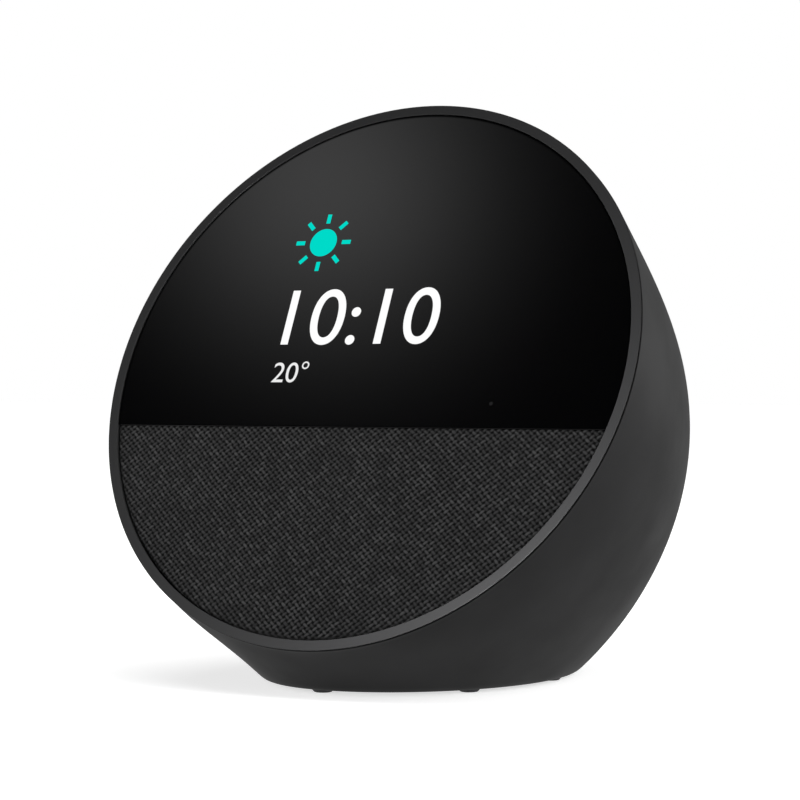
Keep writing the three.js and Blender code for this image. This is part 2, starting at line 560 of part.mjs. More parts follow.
add("button_bracket", prism(stadium(55, 12), bracketTop - 1.4, bracketTop, bracketHoles), INNER_PLASTIC, keys);
BRACKET_SCREWS.forEach((x, i) => {
  add(`bracket_screw_${i + 1}`, screw(bracketTop - 1.4 - GAP - HEAD_HEIGHT, 6, 1, x, 0), STEEL_LOOK, keys);
});

// ---- base: plate, rubber foot ring and screws ----
const PLATE_BOTTOM = BASE_Z + 1.4;
const PLATE_TOP = PLATE_BOTTOM + 1.5;
const powerPosts = [[-7, 8], [7, 8], [-7, 13], [7, 13]];
const POWER_BOARD_BOTTOM = INLET_Z - 4.6 - GAP - 1.2;
function makeBasePlate() {
  const raised = powerPosts.map(([x, y]) => solid(rod(1.8, PLATE_TOP - 0.5, POWER_BOARD_BOTTOM - GAP, x, y)));
  const bores = baseScrews.map(([x, y]) => solid(rod(PILOT_RADIUS, 0, PLATE_TOP + 1, x, y, 10)));
  return cut(joined(solid(prism(baseEllipse(1.5), PLATE_BOTTOM, PLATE_TOP)), ...raised), ...bores);
}
add("base_plate", makeBasePlate(), INNER_PLASTIC, product);
baseScrews.forEach(([x, y], i) => {
  add(`base_screw_${i + 1}`, screw(PLATE_BOTTOM - GAP - HEAD_HEIGHT, 6.6, 1, x, y), STEEL_LOOK, product);
});
function makeFootRing() {
  const ring = solid(prism(baseEllipse(1.6), BASE_Z - 0.05, PLATE_BOTTOM - GAP, [baseEllipse(5.4)]));
  const feet = Array.from({ length: FOOT_COUNT }, (_, i) => {
    const angle = -Math.PI / 2 + (2 * Math.PI * i) / FOOT_COUNT;
    const [x, y] = [(BASE_HALF_WIDTH - 3.7) * Math.cos(angle), (BASE_HALF_DEPTH - 3.7) * Math.sin(angle)];
    const nub = turned([[0, 0], [1.6, 0], [1.9, 0.5], [1.9, BASE_Z + 0.3], [0, BASE_Z + 0.3]], 14, x, BASE_CENTRE_Y + y);
    return solid(nub);
  });
  return joined(ring, ...feet);
}
add("foot_ring", makeFootRing(), RUBBER_LOOK, product);

// ---- power: inlet jack, its board and the inner leads ----
const jackBody = cut(
  onInlet(block(9.4, 9.2, 24, JACK_FACE_Y)),
  onInlet(rod(PLUG_BORE, JACK_FACE_Y - 9, JACK_FACE_Y + 1, 0, 0, 16)),
);
add("power_jack", jackBody.add(onInlet(rod(0.65, JACK_FACE_Y - 10, JACK_FACE_Y - 1, 0, 0, 8))), INNER_PLASTIC, product);
const powerBoardTop = POWER_BOARD_BOTTOM + 1.2;
add("power_board", block(25, 28, POWER_BOARD_BOTTOM, powerBoardTop, 0, 19), BOARD_LOOK, product);
add("power_lead", wire([[6, 12, powerBoardTop + 1.4], [9, 16, 22], [20, 16, 38], [24, 8, 50], [24, -5, 53.2]], 0.9), RUBBER_LOOK, product);

export default product;
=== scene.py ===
"""A small round-faced smart display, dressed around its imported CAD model. Metres, +Z up.

Outlines are worked out in millimetres, as in the CAD source, and make_piece turns them into metres."""
import json
import math

import bmesh
import bpy
import numpy as np
from mathutils import Matrix, Vector


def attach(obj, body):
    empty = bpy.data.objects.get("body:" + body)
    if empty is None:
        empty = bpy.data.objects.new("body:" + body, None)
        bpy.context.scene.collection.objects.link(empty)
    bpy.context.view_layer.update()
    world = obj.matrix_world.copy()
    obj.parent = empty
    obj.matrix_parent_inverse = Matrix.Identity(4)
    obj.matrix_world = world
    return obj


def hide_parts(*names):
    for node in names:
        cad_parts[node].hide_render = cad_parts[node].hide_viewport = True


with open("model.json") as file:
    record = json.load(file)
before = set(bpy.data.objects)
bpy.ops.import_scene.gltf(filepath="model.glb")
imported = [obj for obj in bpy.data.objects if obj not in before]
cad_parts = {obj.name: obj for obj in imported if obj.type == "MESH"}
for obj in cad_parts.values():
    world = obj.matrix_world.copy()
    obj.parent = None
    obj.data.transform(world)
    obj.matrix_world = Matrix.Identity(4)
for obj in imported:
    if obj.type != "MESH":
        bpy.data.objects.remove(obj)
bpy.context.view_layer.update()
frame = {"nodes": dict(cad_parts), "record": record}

# ---- driving dimensions, in millimetres ----
MM = 0.001
TILT = math.radians(25)
FACE_CENTRE = Vector((0, -27.55, 60.2))
RING_RADIUS = 56.5
RING_INNER = 54.55  # 0.15 more than in the CAD model, for the narrow ring that shows
FACE_GAP = 0.2
DISC_RADIUS = RING_INNER - FACE_GAP  # the disc that the glass and the fabric share
GLASS_TOP = -0.3
SEAM = 1.2
RIM_TOP = 0.64
BASE_Z = 0.6
WALL = 2.4
DIVIDE = -12.8
HINGE_DISTANCE = (FACE_CENTRE.z - SEAM * math.sin(TILT) - BASE_Z) / math.cos(TILT)
HALF_WIDTHS = [RING_RADIUS, RING_RADIUS, 54.8, 43.4, 28.5]
REAR_REACH = [HINGE_DISTANCE + RING_RADIUS, 113.0, 126.0, 118.1, 85.4]
FRONT_REACH = [HINGE_DISTANCE - RING_RADIUS, 8.3, 8.6, 12.8]
BASE_CENTRE_Y = -4.95
BASE_HALF_WIDTH = HALF_WIDTHS[-1]
BASE_HALF_DEPTH = (REAR_REACH[-1] - FRONT_REACH[-1]) / 2
KEY_STATION = 0.19
KEY_PITCH = 15
KEY_LENGTH = 10
KEY_WIDTH = 6.5
KEY_PROUD = 0.7
GAP = 0.3
INLET_Z = 17
INLET_RADIUS = 5
INLET_FLOOR_Y = 38
INLET_FLOOR = 1
JACK_FACE_Y = INLET_FLOOR_Y - INLET_FLOOR - GAP
PLUG_BORE = 1.75
NUB_ANGLES = (-95, -35, 10, 60, 110, 160, 210)
NUB_INSET = 3.0
LIP_INSET = 1.2  # the shell's rims are this thick, at the ring and at the base
LIP_BOTTOM = -3.7  # where the rim at the ring meets the shell's wall
SHELF_INSET = 11.6
SHELF_LOW = BASE_Z + 3.2
SHELF_HIGH = BASE_Z + 4.4

FACE = Matrix.Translation(FACE_CENTRE) @ Matrix.Rotation(math.pi / 2 - TILT, 4, "X")
HINGE = FACE @ Vector((0, -HINGE_DISTANCE, -SEAM))
FACE_OUT = (FACE.to_3x3() @ Vector((0, 0, 1))).normalized()


# ---- meshes ----
def make_piece(name, points, faces, material, body="housing", slot=None, replaces=(), matrix=None, sharp=35):
    """A named piece that rides on a CAD body; points are in millimetres in the given frame."""
    points = np.asarray(points, float).reshape(-1, 3)
    if matrix is not None:
        turn = np.array(matrix)
        points = points @ turn[:3, :3].T + turn[:3, 3]
    mesh = bpy.data.meshes.new(name)
    mesh.from_pydata((points * MM).tolist(), [], faces)
    mesh.validate()
    piece = bpy.data.objects.new(name, mesh)
    bpy.context.scene.collection.objects.link(piece)
    outward(mesh)
    mesh.shade_smooth()
    mesh.set_sharp_from_angle(angle=math.radians(sharp))
    mesh.materials.append(material)
    if body:
        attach(piece, body)
    if replaces:
        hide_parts(*replaces)
    return piece


def outward(mesh):
    """Turns every face of a closed mesh to look outwards."""
    shape = bmesh.new()
    shape.from_mesh(mesh)
    bmesh.ops.recalc_face_normals(shape, faces=shape.faces)
    shape.to_mesh(mesh)
    shape.free()


def loft(rings, close=False, cap_first=False, cap_last=False):
    """Points and faces of a skin over rings of equal length, each ring closed on itself."""
    rings = np.asarray(rings, float)
    count, around = rings.shape[:2]
    faces = []
    for i in range(count if close else count - 1):
        a, b = i * around, ((i + 1) % count) * around
        faces += [(a + j, a + (j + 1) % around, b + (j + 1) % around, b + j) for j in range(around)]
    if cap_first:
        faces.append(tuple(range(around))[::-1])
    if cap_last:
        faces.append(tuple((count - 1) * around + j for j in range(around)))
    return rings.reshape(-1, 3), faces


def lathe(profile, around=128, x=0.0, y=0.0, closed=True):
    """A body of revolution about z from [radius, height] corners; a closed profile is a ring."""
    angle = np.linspace(0, 2 * np.pi, around, endpoint=False)
    rings = [
        np.stack([x + r * np.cos(angle), y + r * np.sin(angle), np.full(around, h)], 1) for r, h in profile
    ]
    if closed:
        return loft(rings, close=True)
    return loft(rings, cap_first=True, cap_last=True)


def rounded(profile, radius, steps=4):
    """The closed profile with each corner rounded by a quadratic curve."""
    corners = [np.array(p, float) for p in profile]
    result = []
    for i, corner in enumerate(corners):
        before, after = corners[i - 1], corners[(i + 1) % len(corners)]
        to_before, to_after = before - corner, after - corner
        reach = min(radius, np.linalg.norm(to_before) * 0.45, np.linalg.norm(to_after) * 0.45)
        start = corner + to_before / np.linalg.norm(to_before) * reach
        end = corner + to_after / np.linalg.norm(to_after) * reach
        result.append(start + (start - corner) * 0.1)
        for k in range(steps + 1):
            t = k / steps
            result.append((1 - t) ** 2 * start + 2 * t * (1 - t) * corner + t * t * end)
        result.append(end + (end - corner) * 0.1)
    return result


def stadium(length, width, x=0.0, count=16):
    """A bar with round ends, centred on (x, 0)."""
    straight, radius = (length - width) / 2, width / 2
    right = np.linspace(-np.pi / 2, np.pi / 2, count + 1)
    left = np.linspace(np.pi / 2, 1.5 * np.pi, count + 1)
    xs = np.concatenate([x + straight + radius * np.cos(right), x - straight + radius * np.cos(left)])
    ys = np.concatenate([radius * np.sin(right), radius * np.sin(left)])
    return np.stack([xs, ys], 1)


def with_height(outline, height):
    return np.column_stack([outline, np.broadcast_to(height, len(outline))])


# ---- the shell's surface, as in the CAD source ----
def bernstein(values, s):
    """The Bezier curve through control values, at s from 0 to 1."""
    row = [np.asarray(value, float) + 0 * s for value in values]
    while len(row) > 1:
        row = [a * (1 - s) + b * s for a, b in zip(row, row[1:])]
    return row[0]


def shell_points(s, phi, grow=0.0):
    """Points of the swept shell: s from the face (0) to the base (1), phi round it."""
    s, phi = np.broadcast_arrays(np.asarray(s, float), np.asarray(phi, float))
    swing = (np.pi / 2 - TILT) * (1 - s)
    far = bernstein(REAR_REACH, s) + grow
    near = bernstein(FRONT_REACH, s) - grow
    reach = (far + near) / 2 + (far - near) / 2 * np.sin(phi)
    across = (bernstein(HALF_WIDTHS, s) + grow) * np.cos(phi)
    return np.stack([across, HINGE.y + reach * np.cos(swing), HINGE.z + reach * np.sin(swing)], -1)


def base_ring(inset, height, phi):
    """A level ring inside the oval base."""
    return np.stack([
        (BASE_HALF_WIDTH - inset) * np.cos(phi),
        BASE_CENTRE_Y + (BASE_HALF_DEPTH - inset) * np.sin(phi),
        np.full_like(phi, height),
    ], 1)


def face_ring(radius, height, phi):
    """A round ring in the frame of the tilted face."""
    flat = np.stack([radius * np.cos(phi), radius * np.sin(phi), np.full_like(phi, height)], 1)
    turn = np.array(FACE)
    return flat @ turn[:3, :3].T + turn[:3, 3]


def key_frame():
    """The frame of the three keys: x across, z out of the shell at the middle key."""
    low, origin, high = (shell_points(KEY_STATION + d, np.pi / 2) for d in (-0.01, 0, 0.01))
    slope = high - low
    return Matrix.Translation(Vector(origin)) @ Matrix.Rotation(math.atan2(slope[2], slope[1]), 4, "X")


KEYS = key_frame()


# ---- materials ----
def new_material(name, **values):
    """A Principled material; each value is set on the shader's own socket."""
    material = bpy.data.materials.new(name)
    material.use_nodes = True
    nodes, links = material.node_tree.nodes, material.node_tree.links
    shader = nodes["Principled BSDF"]
    for socket, value in values.items():
        shader.inputs[socket.replace("_", " ")].default_value = value
    return material, nodes, links, shader


def grain(nodes, links, shader, scale, strength, distance, detail=4.0):
    """Fine surface relief from noise, in the object's own space."""
    place = nodes.new("ShaderNodeTexCoord")
    noise = nodes.new("ShaderNodeTexNoise")
    noise.inputs["Scale"].default_value = scale
    noise.inputs["Detail"].default_value = detail
    bump = nodes.new("ShaderNodeBump")
    bump.inputs["Strength"].default_value = strength
    bump.inputs["Distance"].default_value = distance
    links.new(place.outputs["Object"], noise.inputs["Vector"])
    links.new(noise.outputs["Fac"], bump.inputs["Height"])
    links.new(bump.outputs["Normal"], shader.inputs["Normal"])
    return place, noise


def vary(nodes, links, source, socket, low, high, start=0.35, end=0.65):
    """Drives a colour or value socket between two ends by a noise or attribute output."""
    ramp = nodes.new("ShaderNodeMapRange")
    ramp.inputs["From Min"].default_value = start
    ramp.inputs["From Max"].default_value = end
    links.new(source, ramp.inputs["Value"])
    if isinstance(low, (int, float)):
        ramp.inputs["To Min"].default_value = low
        ramp.inputs["To Max"].default_value = high
        links.new(ramp.outputs["Result"], socket)
        return
    mix = nodes.new("ShaderNodeMix")
    mix.data_type = "RGBA"
    mix.inputs["A"].default_value = (*low, 1)
    mix.inputs["B"].default_value = (*high, 1)
    links.new(ramp.outputs["Result"], mix.inputs["Factor"])
    links.new(mix.outputs["Result"], socket)


def broad_noise(nodes, links, place, scale):
    noise = nodes.new("ShaderNodeTexNoise")
    noise.inputs["Scale"].default_value = scale
    noise.inputs["Detail"].default_value = 3
    links.new(place.outputs["Object"], noise.inputs["Vector"])
    return noise


def moulded_plastic(name, dark, light, roughness, texture_mm, depth_mm, gloss=0.5):
    """Moulded plastic: a fine even texture, with faint changes of tone and gloss over it."""
    material, nodes, links, shader = new_material(name, Specular_IOR_Level=gloss)
    place, _ = grain(nodes, links, shader, 1 / (texture_mm * MM), 0.5, depth_mm * MM)
    broad = broad_noise(nodes, links, place, 60)
    vary(nodes, links, broad.outputs["Fac"], shader.inputs["Base Color"], dark, light)
    low, high = roughness + 0.04, roughness - 0.04
    vary(nodes, links, broad.outputs["Fac"], shader.inputs["Roughness"], low, high)
    return material


def metal(name, colour, roughness, scratch_mm=0.4):
    material, nodes, links, shader = new_material(name, Base_Color=(*colour, 1), Metallic=1.0)
    _, noise = grain(nodes, links, shader, 1 / (scratch_mm * MM), 0.15, 0.02 * MM)
    vary(nodes, links, noise.outputs["Fac"], shader.inputs["Roughness"], roughness - 0.06, roughness + 0.1)
    return material


def glow(name, colour, strength):
    """The lit figures: they shine and mirror nothing."""
    material, nodes, links, shader = new_material(
        name, Base_Color=(0, 0, 0, 1), Emission_Color=(*colour, 1), Emission_Strength=strength,
        Roughness=0.12, Specular_IOR_Level=0.0,
    )
    grain(nodes, links, shader, 1 / (0.25 * MM), 0.02, 0.002 * MM)
    return material


def cover_glass_material():
    """Polished glass over a black print: deep black with a clear reflection."""
    material, nodes, links, shader = new_material(
        "cover_glass_black", Base_Color=(0.0015, 0.0015, 0.0017, 1), IOR=1.5, Coat_Weight=0.0,
    )
    _, noise = grain(nodes, links, shader, 1 / (30 * MM), 0.004, 0.2 * MM, 2.0)
    vary(nodes, links, noise.outputs["Fac"], shader.inputs["Roughness"], 0.03, 0.045)
    return material


YARN_DARK = (0.0234, 0.0234, 0.0238)
YARN_LIGHT = (0.0515, 0.0515, 0.0522)
# Painted shade: the colour given to the dips and gaps between threads, darker than any yarn.
PAINTED_GAP_SHADE = (0.0005, 0.0005, 0.0005)


def fabric_material():
    """Charcoal yarn, each thread its own tone, with painted shade from the weave's height: full tone on the
    crowns, darker down the dips and near black in the gaps between threads.
    """
    material, nodes, links, shader = new_material(
        "woven_charcoal", Roughness=0.85, Sheen_Weight=0.05, Sheen_Roughness=0.5, Specular_IOR_Level=0.15,
    )
    grain(nodes, links, shader, 1 / (0.12 * MM), 0.5, 0.04 * MM, 6.0)
    tone = nodes.new("ShaderNodeAttribute")
    tone.attribute_name = "tone"
    depth = nodes.new("ShaderNodeAttribute")
    depth.attribute_name = "weave"
    yarn = nodes.new("ShaderNodeMix")
    yarn.data_type = "RGBA"
    yarn.inputs["A"].default_value = (*YARN_DARK, 1)
    yarn.inputs["B"].default_value = (*YARN_LIGHT, 1)
    links.new(tone.outputs["Fac"], yarn.inputs["Factor"])
    # Painted shade: the weave's height darkens the yarn towards near black in the dips and gaps and leaves
    # the crowns at full tone.
    crown = nodes.new("ShaderNodeMapRange")
    crown.interpolation_type = "SMOOTHSTEP"
    crown.inputs["From Min"].default_value = 0.15
    crown.inputs["From Max"].default_value = 1.0
    links.new(depth.outputs["Fac"], crown.inputs["Value"])
    shade = nodes.new("ShaderNodeMix")
    shade.data_type = "RGBA"
    shade.inputs["A"].default_value = (*PAINTED_GAP_SHADE, 1)
    links.new(crown.outputs["Result"], shade.inputs["Factor"])
    links.new(yarn.outputs["Result"], shade.inputs["B"])
    links.new(shade.outputs["Result"], shader.inputs["Base Color"])
    return material


SHELL = moulded_plastic(
    "shell_charcoal", (0.0095, 0.0095, 0.0097), (0.0112, 0.0112, 0.0115), 0.5, 0.16, 0.012, gloss=0.2,
)
RING = moulded_plastic(
    "ring_grey", (0.0105, 0.0105, 0.0107), (0.0122, 0.0122, 0.0125), 0.42, 0.1, 0.006, gloss=0.22,
)
INNER = moulded_plastic("inner_black", (0.012, 0.012, 0.013), (0.018, 0.018, 0.019), 0.6, 0.3, 0.02)
RUBBER = moulded_plastic("rubber_black", (0.01, 0.01, 0.011), (0.016, 0.016, 0.017), 0.8, 0.2, 0.03)
BOARD = moulded_plastic("board_green", (0.008, 0.05, 0.022), (0.012, 0.07, 0.03), 0.4, 0.8, 0.02)
CHIP = moulded_plastic("chip_resin", (0.01, 0.01, 0.012), (0.016, 0.016, 0.018), 0.35, 0.2, 0.01)
CLOTH_AMBER = moulded_plastic("spider_amber", (0.2, 0.14, 0.05), (0.3, 0.22, 0.1), 0.9, 0.5, 0.1)
FLEX = moulded_plastic("flex_amber", (0.25, 0.1, 0.02), (0.34, 0.15, 0.03), 0.3, 0.6, 0.01)
DIFFUSER = moulded_plastic("diffuser_white", (0.75, 0.77, 0.8), (0.82, 0.84, 0.86), 0.3, 1.0, 0.01)
PAPER = moulded_plastic("cone_paper", (0.02, 0.02, 0.021), (0.03, 0.03, 0.031), 0.9, 0.35, 0.06)
FERRITE = moulded_plastic("ferrite_grey", (0.035, 0.035, 0.038), (0.05, 0.05, 0.054), 0.6, 0.4, 0.02)
STEEL = metal("zinc_steel", (0.56, 0.57, 0.6), 0.34)
ALUMINIUM = metal("cast_aluminium", (0.62, 0.63, 0.65), 0.42)
COPPER = metal("enamelled_copper", (0.7, 0.32, 0.16), 0.3)
GLASS = cover_glass_material()
FABRIC = fabric_material()
PRINT = moulded_plastic("key_print", (0.16, 0.165, 0.17), (0.19, 0.195, 0.2), 0.6, 0.2, 0.005)


# ---- rear shell ----
def shell_rings(around=288, rows=120):
    """The shell's closed section, one ring of points for each step round it."""
    phi = np.linspace(0, 2 * np.pi, around, endpoint=False)
    sweep = np.pi / 2 - TILT
    fillet, corner_steps = 1.0, 6
    low_reach = (REAR_REACH[-1] + FRONT_REACH[-1]) / 2 + BASE_HALF_DEPTH * np.sin(phi)
    last = 1 - np.arcsin(fillet / low_reach) / sweep
    rings = [
        face_ring(RING_RADIUS - 0.12, -RIM_TOP - 0.03, phi),
        face_ring(RING_RADIUS, -RIM_TOP - 0.1, phi),
    ]
    rings += [shell_points(last * t, phi) for t in np.linspace(0, 1, rows)]
    start, corner = rings[-1], shell_points(1.0, phi)
    end = base_ring(0.8, BASE_Z, phi)
    for t in np.linspace(0, 1, corner_steps + 1)[1:]:
        rings.append((1 - t) ** 2 * start + 2 * t * (1 - t) * corner + t * t * end)
    rings += [base_ring(LIP_INSET - 0.1, BASE_Z, phi), base_ring(LIP_INSET, BASE_Z + 0.1, phi)]
    rings += [base_ring(LIP_INSET, SHELF_LOW, phi), base_ring(SHELF_INSET, SHELF_LOW, phi)]
    rings += [base_ring(SHELF_INSET, SHELF_HIGH, phi)]
    rings += inner_rings(phi, 36)
    rings += [
        face_ring(RING_RADIUS - LIP_INSET, LIP_BOTTOM, phi),
        face_ring(RING_RADIUS - LIP_INSET, -RIM_TOP - 0.6, phi),
    ]
    return rings


def inner_rings(phi, rows):
    """The wall's inner side, from the shelf over the base up to the rim at the ring."""
    s = np.linspace(0, 1, 400)
    columns = []
    for angle in phi:
        line = shell_points(s, angle, -WALL)
        height = (line - np.array(FACE_CENTRE)) @ np.array(FACE_OUT)
        kept = (height <= LIP_BOTTOM) & (line[:, 2] >= SHELF_HIGH)
        first, final = s[kept][-1], s[kept][0]
        columns.append(shell_points(np.linspace(first, final, rows), angle, -WALL))
    return [np.array([column[i] for column in columns]) for i in range(rows)]


def combine(piece, steps):
    """Applies (operation, tool) booleans in turn and keeps the result as the piece's own mesh."""
    for operation, tool in steps:
        step = piece.modifiers.new(tool.name, "BOOLEAN")
        step.operation = operation
        step.solver = "EXACT"
        step.object = tool
    bpy.context.view_layer.update()
    result = bpy.data.meshes.new_from_object(piece.evaluated_get(bpy.context.evaluated_depsgraph_get()))
    piece.modifiers.clear()
    piece.data = result
    for _, tool in steps:
        bpy.data.objects.remove(tool)


def tool_piece(name, shape, matrix=None):
    """A solid for a boolean; combine removes it afterwards."""
    return make_piece(name, *shape, SHELL, body=None, matrix=matrix)


def rod(radius, low, high, around=64, x=0.0):
    return lathe([(radius, low), (radius, high)], around, x, 0, closed=False)


def build_shell():
    """The shell's moulding, with key wells, microphone holes, power pocket and plug hole."""
    shell = make_piece(
        "shell_moulding", *loft(shell_rings(), close=True), SHELL, slot="shell_plastic",
        replaces=["rear_shell"],
    )
    inlet = Matrix.Translation((0, 0, INLET_Z)) @ Matrix.Rotation(-math.pi / 2, 4, "X")
    phi = np.linspace(0, 2 * np.pi, 144, endpoint=False)
    body = [shell_points(s, phi, -0.02) for s in np.linspace(0.3, 1, 60)]
    collar = tool_piece("collar", rod(INLET_RADIUS + 1.6, INLET_FLOOR_Y - INLET_FLOOR, 60, 96), inlet)
    combine(collar, [("INTERSECT", tool_piece("body", loft(body, cap_first=True, cap_last=True)))])
    steps = [("UNION", collar)]
    for i, x in enumerate((-KEY_PITCH, 0, KEY_PITCH)):
        outline = stadium(KEY_LENGTH + 2 * GAP, KEY_WIDTH + 2 * GAP, x)
        well = loft([with_height(outline, -9), with_height(outline, 9)], cap_first=True, cap_last=True)
        steps.append(("DIFFERENCE", tool_piece(f"well_{i}", well, KEYS)))
    for i, x in enumerate((-KEY_PITCH / 2, KEY_PITCH / 2)):
        steps.append(("DIFFERENCE", tool_piece(f"microphone_{i}", rod(0.6, -8, 8, 32, x), KEYS)))
    steps.append(("DIFFERENCE", tool_piece("pocket", rod(INLET_RADIUS, INLET_FLOOR_Y, 70, 96), inlet)))
    steps.append(("DIFFERENCE", tool_piece("plug_hole", rod(PLUG_BORE + 0.1, 30, 50, 48), inlet)))
    combine(shell, steps)
    shell.data.shade_smooth()
    shell.data.set_sharp_from_angle(angle=math.radians(40))


build_shell()


# ---- front: ring, glass and fabric ----
def build_ring():
    """A thin flange with a skirt behind it; the undercut leaves a dark line round the disc."""
    flange, skirt, undercut, skirt_outer = -0.95, -2.8, RING_INNER + 0.25, RING_INNER + 0.6
    profile = [
        (RING_RADIUS, -0.06), (RING_RADIUS - 0.03, 0), (RING_INNER + 0.04, 0), (RING_INNER, -0.04),
        (undercut, -0.3), (undercut, skirt), (skirt_outer, skirt), (skirt_outer, flange),
    ]
    make_piece(
        "trim_ring", *lathe(rounded(profile, 0.05), 320), RING, slot="ring_plastic",
        replaces=["front_ring"], matrix=FACE, sharp=50,
    )


build_ring()


def segment(radius, above, margin, inset, count=220):
    """The part of the disc above or below the dividing line, drawn in by `inset` all round."""
    line = DIVIDE + (margin + inset if above else -margin - inset)
    radius -= inset
    edge = math.asin(line / radius)
    start, end = (edge, np.pi - edge) if above else (np.pi - edge, 2 * np.pi + edge)
    angle = np.linspace(start, end, count)
    return np.stack([radius * np.cos(angle), radius * np.sin(angle)], 1)


def build_glass():
    """The pane over the display, its front edge softened by a small round."""
    top, bottom, edge, margin = GLASS_TOP, -2.1, 0.08, 0.52
    rings = [with_height(segment(DISC_RADIUS, True, margin, 0), bottom)]
    for t in np.linspace(0, 1, 7):
        inset = edge * (1 - math.cos(t * math.pi / 2))
        height = top - edge * 0.6 * (1 - math.sin(t * math.pi / 2))
        rings.append(with_height(segment(DISC_RADIUS, True, margin, inset), height))
    rings.append(with_height(segment(DISC_RADIUS, True, margin, edge + 0.3), top))
    points, faces = loft(rings, cap_first=True, cap_last=True)
    make_piece(
        "glass_pane", points, faces, GLASS, slot="cover_glass", replaces=["cover_glass"],
        matrix=FACE, sharp=50,
    )


build_glass()


WEAVE_ACROSS = 1.443
WEAVE_UP = 1.24
THREAD_HALF = 0.29


def weave(u, v):
    """A plain weave laid on the diagonal: its height and its tone, both from 0 to 1."""
    sway = 0.05 * np.sin(u * 0.83 + 1.4 * np.sin(v * 0.61)) + 0.04 * np.sin(v * 1.3 - u * 0.47)
    jitter = 0.05 * np.sin(u * 2.9 + 2.1 * np.sin(v * 1.9)) * np.cos(v * 3.3 + 1.7 * np.sin(u * 1.3))
    p = u / WEAVE_ACROSS + v / WEAVE_UP + sway + jitter
    q = -u / WEAVE_ACROSS + v / WEAVE_UP + sway * 0.5 - jitter
    tones = np.random.default_rng(11).uniform(0, 1, (400, 400)) ** 2
    height, tone = np.zeros_like(u), np.zeros_like(u)
    for along, across, phase in ((p, q, 0), (q, p, 1)):
        lane = np.round(across)
        crown = np.sqrt(np.clip(1 - ((across - lane) / THREAD_HALF) ** 2, 0, 1))
        wave = 0.5 + 0.5 * np.cos(np.pi * (along + lane + phase))
        rise = np.where(crown > 0, (0.25 + 0.75 * wave) * (0.35 + 0.65 * crown), 0)
        stretch = np.round((along + lane + phase) / 2)
        own = tones[lane.astype(int) % 400, (stretch.astype(int) * 2 + phase) % 400]
        tone = np.where(rise > height, own, tone)
        height = np.maximum(rise, height)
    return height, tone


def build_fabric():
    """The woven sheet over the grille: a relief of threads on its face, plain behind."""
    radius, relief, thickness = DISC_RADIUS, 0.24, 0.26
    front, top = -0.38, DIVIDE + 0.47
    tuck_width, tuck_depth = 0.6, 0.25
    rows, columns = 330, 840
    v = np.linspace(top, -radius + 0.02, rows)[:, None]
    half = np.sqrt(radius ** 2 - v ** 2)
    u = half * np.linspace(-1, 1, columns)[None, :]
    v = v + 0 * u
    height, tone = weave(u, v)
    edge = np.minimum(radius - np.hypot(u, v), 0.4 + top - v)
    tuck = np.clip(1 - edge / tuck_width, 0, 1) ** 2
    w = front - relief * (1 - height) - tuck_depth * tuck
    points = np.stack([u, v, w], -1).reshape(-1, 3)
    index = np.arange(rows * columns).reshape(rows, columns)
    quads = np.stack([index[:-1, :-1], index[:-1, 1:], index[1:, 1:], index[1:, :-1]], -1)
    rim = np.concatenate([index[0], index[1:, -1], index[-1, -2::-1], index[-2:0:-1, 0]])
    back = points[rim]
    back[:, 2] = front - relief - thickness
    faces = quads.reshape(-1, 4).tolist()
    first = len(points)
    count = len(rim)
    faces += [(int(rim[k]), int(rim[k - 1]), first + (k - 1) % count, first + k) for k in range(count)]
    faces.append(tuple(range(first, first + count)))
    sheet = make_piece(
        "grille_cloth", np.concatenate([points, back]), faces, FABRIC, slot="speaker_fabric",
        replaces=["speaker_fabric"], matrix=FACE, sharp=180,
    )
    spare = np.zeros(count)
    # 'weave' holds each point's thread height, which the fabric material turns into painted shade; 'tone'
    # holds each thread's own tone.
    for name, values in (("weave", height), ("tone", tone)):
        attribute = sheet.data.attributes.new(name, "FLOAT", "POINT")
        attribute.data.foreach_set("value", np.concatenate([values.ravel(), spare]).astype(np.float32))


build_fabric()


# ---- what the display shows: plain numbers and a plain sun, none of them the photo's ----
WHITE_GLOW = glow("lit_white", (1, 1, 1), 1.0)
SOFT_GLOW = glow("lit_soft_white", (1, 1, 1), 0.84)
TEAL_GLOW = glow("lit_teal", (0.0, 0.7, 0.58), 1.0)
LIT_HEIGHT = GLASS_TOP + 0.02


def flat_shape(name, outline, material):
    """A thin flat shape on the glass, from a closed outline in face millimetres."""
    shape = bmesh.new()
    corners = [shape.verts.new((x, y, LIT_HEIGHT)) for x, y in outline]
    for i, corner in enumerate(corners):
        shape.edges.new((corner, corners[(i + 1) % len(corners)]))
    bmesh.ops.triangle_fill(shape, edges=shape.edges, use_beauty=True, use_dissolve=False)
    points = [tuple(vertex.co) for vertex in shape.verts]
    shape.verts.index_update()
    faces = [[vertex.index for vertex in face.verts] for face in shape.faces]
    shape.free()
    make_piece(name, points, faces, material, slot="display_glass", matrix=FACE)


def circle(x, y, radius, count=64):
    """Points of a circle."""
    angle = np.linspace(0, 2 * math.pi, count, endpoint=False)
    return np.stack([x + radius * np.cos(angle), y + radius * np.sin(angle)], 1)


SUN = (-16.0, 27.0)
SUN_RADIUS = 3.0
SUN_RAYS = 8
RAY_START = 4.2
RAY_END = 6.2
RAY_HALF = 0.45


def build_sun():
    """A plain sun: a disc and evenly spaced straight bars."""
    flat_shape("sun_disc", circle(*SUN, SUN_RADIUS), TEAL_GLOW)
    for i in range(SUN_RAYS):
        angle = 2 * math.pi * i / SUN_RAYS
        along = np.array([math.cos(angle), math.sin(angle)])
        side = np.array([-along[1], along[0]]) * RAY_HALF
        near, far = SUN + along * RAY_START, SUN + along * RAY_END
        flat_shape(f"sun_ray_{i + 1}", [near - side, far - side, far + side, near + side], TEAL_GLOW)


build_sun()


